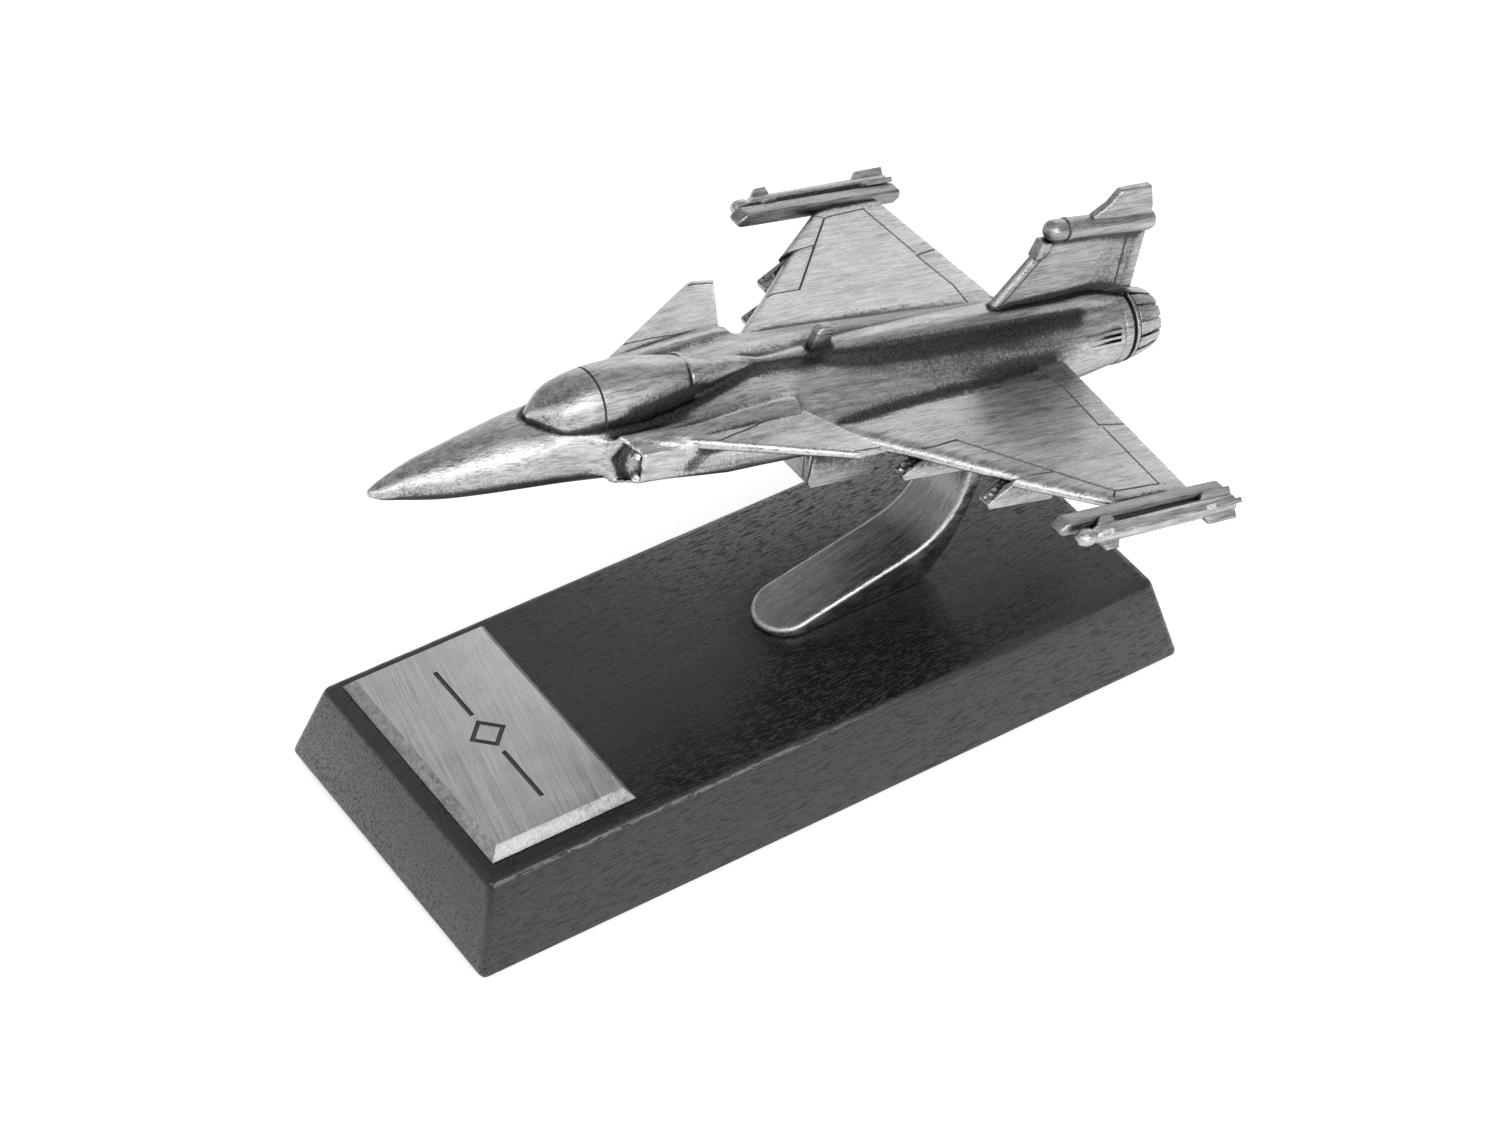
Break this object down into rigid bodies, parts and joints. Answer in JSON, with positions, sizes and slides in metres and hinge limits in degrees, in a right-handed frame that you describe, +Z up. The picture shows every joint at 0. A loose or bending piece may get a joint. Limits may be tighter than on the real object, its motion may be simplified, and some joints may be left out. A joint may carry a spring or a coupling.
{
  "type": "desk aircraft model",
  "caption": "Pewter desk model of a canard-delta jet fighter, nose up on a curved strut that stands on a bevelled dark wooden plinth with an engraved pewter plate.",
  "frame": {"origin": "middle of the underside, on the felt's lower face, centred on the plinth", "axes": "+Z up; the nose and the name plate point to -Y; +X towards the aircraft's left wing"},
  "size_m": [0.0926, 0.1381, 0.0804],
  "materials": {
    "aircraft_pewter": "brushed cast pewter with dark patina left in the recesses",
    "strut_pewter": "dark satin pewter with polished edges",
    "plate_pewter": "brushed pewter, brighter bevels",
    "stained_wood": "black stained open-pored hardwood, satin lacquer",
    "felt": "pressed felt",
    "adhesive_film": "double-sided adhesive film",
    "zinc_steel": "zinc-plated steel"
  },
  "bodies": {
    "root": {"felt_pad": "felt", "plinth": "stained_wood", "plate_film": "adhesive_film", "name_plate": "plate_pewter", "stand_strut": "strut_pewter", "strut_screws": "zinc_steel", "screw_washers": "zinc_steel", "fuselage": "aircraft_pewter", "canopy": "aircraft_pewter", "exhaust_nozzle": "aircraft_pewter", "wing_left": "aircraft_pewter", "wing_right": "aircraft_pewter", "canard_left": "aircraft_pewter", "canard_right": "aircraft_pewter", "fin": "aircraft_pewter", "spine_antenna": "aircraft_pewter", "belly_pylon": "aircraft_pewter", "inner_pylon_left": "aircraft_pewter", "inner_pylon_right": "aircraft_pewter", "outer_pylon_left": "aircraft_pewter", "outer_pylon_right": "aircraft_pewter", "tip_rail_left": "aircraft_pewter", "tip_rail_right": "aircraft_pewter", "tip_missile_left": "aircraft_pewter", "tip_missile_right": "aircraft_pewter"}
  },
  "joints": []
}
